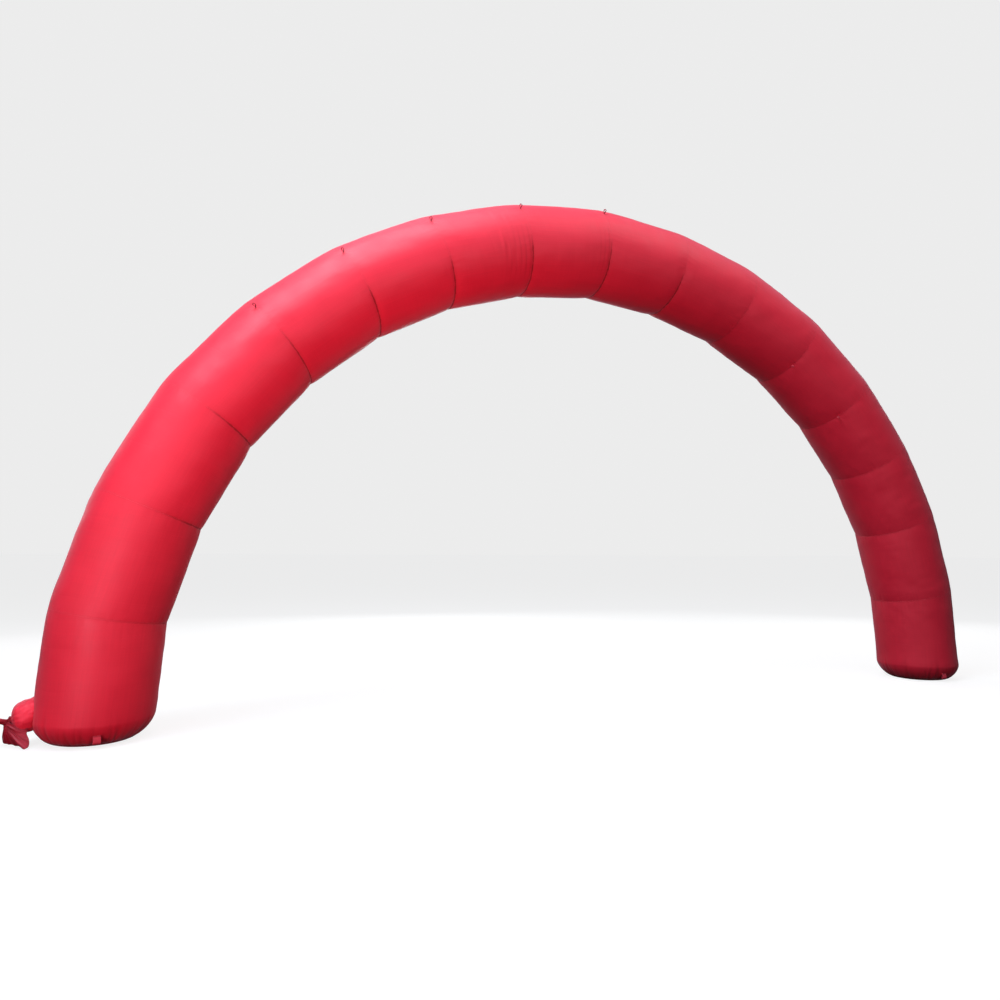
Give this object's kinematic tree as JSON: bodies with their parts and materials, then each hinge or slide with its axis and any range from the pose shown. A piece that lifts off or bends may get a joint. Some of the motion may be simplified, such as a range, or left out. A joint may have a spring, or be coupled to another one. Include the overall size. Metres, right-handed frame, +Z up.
{
  "type": "inflatable arch",
  "caption": "Air-filled cloth arch in faceted segments on round feet, with a tied filling sleeve and webbing loops, set over a finish line or an entrance.",
  "frame": {"origin": "on the ground, under the middle of the whole part's box, the filling sleeve included", "axes": "+X across the span, from the foot with the filling sleeve to the other foot; +Z up; the front with the webbing loops faces -Y"},
  "size_m": [10.2601, 0.9459, 5.1094],
  "materials": {
    "coated_nylon": "satin coated nylon",
    "base_cloth": "satin coated nylon",
    "sleeve_nylon": "thin uncoated nylon",
    "webbing": "matte woven webbing",
    "cord": "matte braided cord"
  },
  "bodies": {
    "root": {"tube_panel_01": "coated_nylon", "tube_panel_02": "coated_nylon", "tube_panel_03": "coated_nylon", "tube_panel_04": "coated_nylon", "tube_panel_05": "coated_nylon", "tube_panel_06": "coated_nylon", "tube_panel_07": "coated_nylon", "tube_panel_08": "coated_nylon", "tube_panel_09": "coated_nylon", "tube_panel_10": "coated_nylon", "tube_panel_11": "coated_nylon", "tube_panel_12": "coated_nylon", "tube_panel_13": "coated_nylon", "tube_panel_14": "coated_nylon", "tube_panel_15": "coated_nylon", "tube_panel_16": "coated_nylon", "base_panel_left": "base_cloth", "base_panel_right": "base_cloth", "inflation_sleeve": "sleeve_nylon", "sleeve_tie": "cord", "seam_loop_04": "webbing", "seam_loop_05": "webbing", "seam_loop_06": "webbing", "seam_loop_07": "webbing", "seam_loop_08": "webbing", "seam_loop_11": "webbing", "seam_loop_12": "webbing", "foot_loop_left": "webbing", "foot_loop_right": "webbing"}
  },
  "joints": []
}
